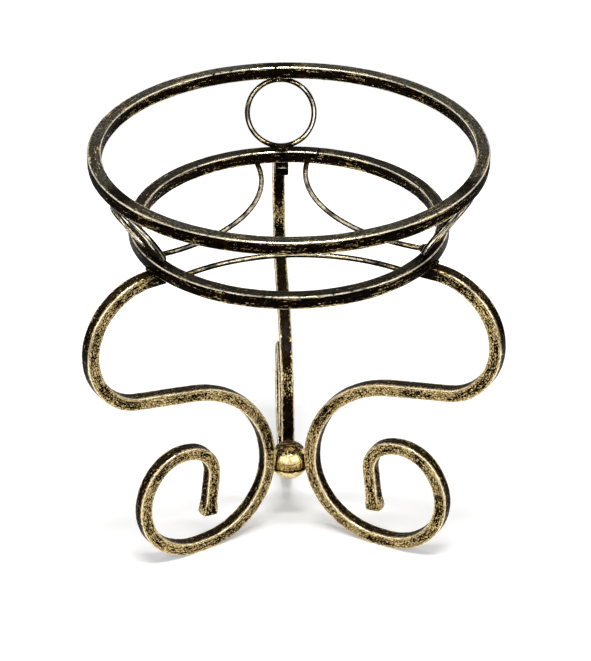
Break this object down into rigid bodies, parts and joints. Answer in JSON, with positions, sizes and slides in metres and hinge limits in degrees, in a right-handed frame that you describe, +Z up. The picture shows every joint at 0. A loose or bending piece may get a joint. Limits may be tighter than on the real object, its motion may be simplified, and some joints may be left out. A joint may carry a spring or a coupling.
{
  "type": "plant stand",
  "caption": "Low welded iron plant stand: a wide rim ring over a smaller ring with wire support arcs, on scroll legs that meet at a ball, in rubbed antique bronze.",
  "frame": {"origin": "on the floor, at the middle of the footprint of the whole stand; the axis of the rings is 14 mm in front of it", "axes": "+Z up, -Y towards the front of the picture, +Y along the back leg, +X to the right"},
  "size_m": [0.299, 0.313, 0.3158],
  "materials": {
    "ring_bronze": "satin black-brown lacquer on steel square tube, speckled, with gold rubbed along its edges",
    "leg_bronze": "the same lacquer with more gold rubbed over it, densest towards the curls",
    "wire_bronze": "satin dark lacquer on round steel wire, with a little gold on its crest",
    "ball_gold": "polished gold paint on a steel ball, dark speckle over its top",
    "weld_dark": "rough weld metal under the dark lacquer"
  },
  "bodies": {
    "root": {"top_ring": "ring_bronze", "lower_ring": "ring_bronze", "link_ring_back": "wire_bronze", "link_ring_left": "wire_bronze", "link_ring_right": "wire_bronze", "support_arc_front": "wire_bronze", "support_arc_right": "wire_bronze", "support_arc_left": "wire_bronze", "leg_back": "leg_bronze", "leg_left": "leg_bronze", "leg_right": "leg_bronze", "centre_ball": "ball_gold", "weld_link_foot_back": "weld_dark", "weld_link_head_back": "weld_dark", "weld_leg_seat_back": "weld_dark", "weld_leg_ball_back": "weld_dark", "weld_link_foot_left": "weld_dark", "weld_link_head_left": "weld_dark", "weld_leg_seat_left": "weld_dark", "weld_leg_ball_left": "weld_dark", "weld_link_foot_right": "weld_dark", "weld_link_head_right": "weld_dark", "weld_leg_seat_right": "weld_dark", "weld_leg_ball_right": "weld_dark", "weld_arc_front_start": "weld_dark", "weld_arc_front_end": "weld_dark", "weld_arc_right_start": "weld_dark", "weld_arc_right_end": "weld_dark", "weld_arc_left_start": "weld_dark", "weld_arc_left_end": "weld_dark"}
  },
  "joints": []
}
